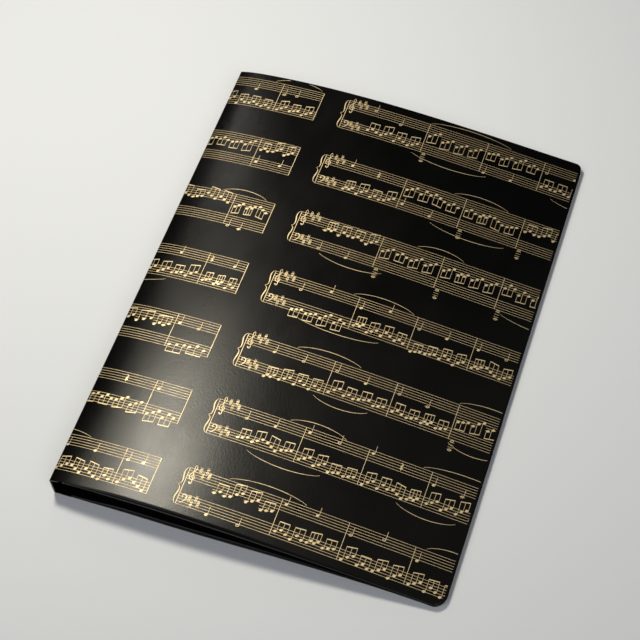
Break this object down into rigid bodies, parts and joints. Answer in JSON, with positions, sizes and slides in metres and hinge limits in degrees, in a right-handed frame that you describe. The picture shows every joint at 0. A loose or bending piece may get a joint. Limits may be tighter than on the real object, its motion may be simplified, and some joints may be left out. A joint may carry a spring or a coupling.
{
  "type": "music folder",
  "caption": "A4 folder for sheet music: two bowed covers on a flat creased spine, the bottom edge folded up inside each cover as a pocket, gold stave print.",
  "frame": {"origin": "under the middle of the closed folder, on the surface that its back cover lies on", "axes": "+X from the spine to the fore-edge, +Y from the folded bottom edge to the top edge, +Z out of the front cover"},
  "size_m": [0.23, 0.31, 0.0198],
  "materials": {
    "black_sheet": "satin black polypropylene sheet with a fine embossed grain",
    "gold_print": "thin metallic gold ink, slightly glossier than the sheet"
  },
  "bodies": {
    "back": {"back_cover": "black_sheet"},
    "spine": {"spine": "black_sheet"},
    "front": {"front_cover": "black_sheet", "stave_left_1": "gold_print", "stave_left_2": "gold_print", "stave_left_3": "gold_print", "stave_left_4": "gold_print", "stave_left_5": "gold_print", "stave_left_6": "gold_print", "stave_left_7": "gold_print", "stave_right_1": "gold_print", "stave_right_2": "gold_print", "stave_right_3": "gold_print", "stave_right_4": "gold_print", "stave_right_5": "gold_print", "stave_right_6": "gold_print", "stave_right_7": "gold_print"}
  },
  "joints": [
    {"name": "back_crease", "type": "hinge", "parent": "back", "child": "spine", "pos_m": [-0.11455, 0, 0.00045], "axis": [0, -1, 0], "range_deg": [0, 90]},
    {"name": "front_crease", "type": "hinge", "parent": "spine", "child": "front", "pos_m": [-0.11455, 0, 0.01555], "axis": [0, -1, 0], "range_deg": [0, 82]}
  ]
}
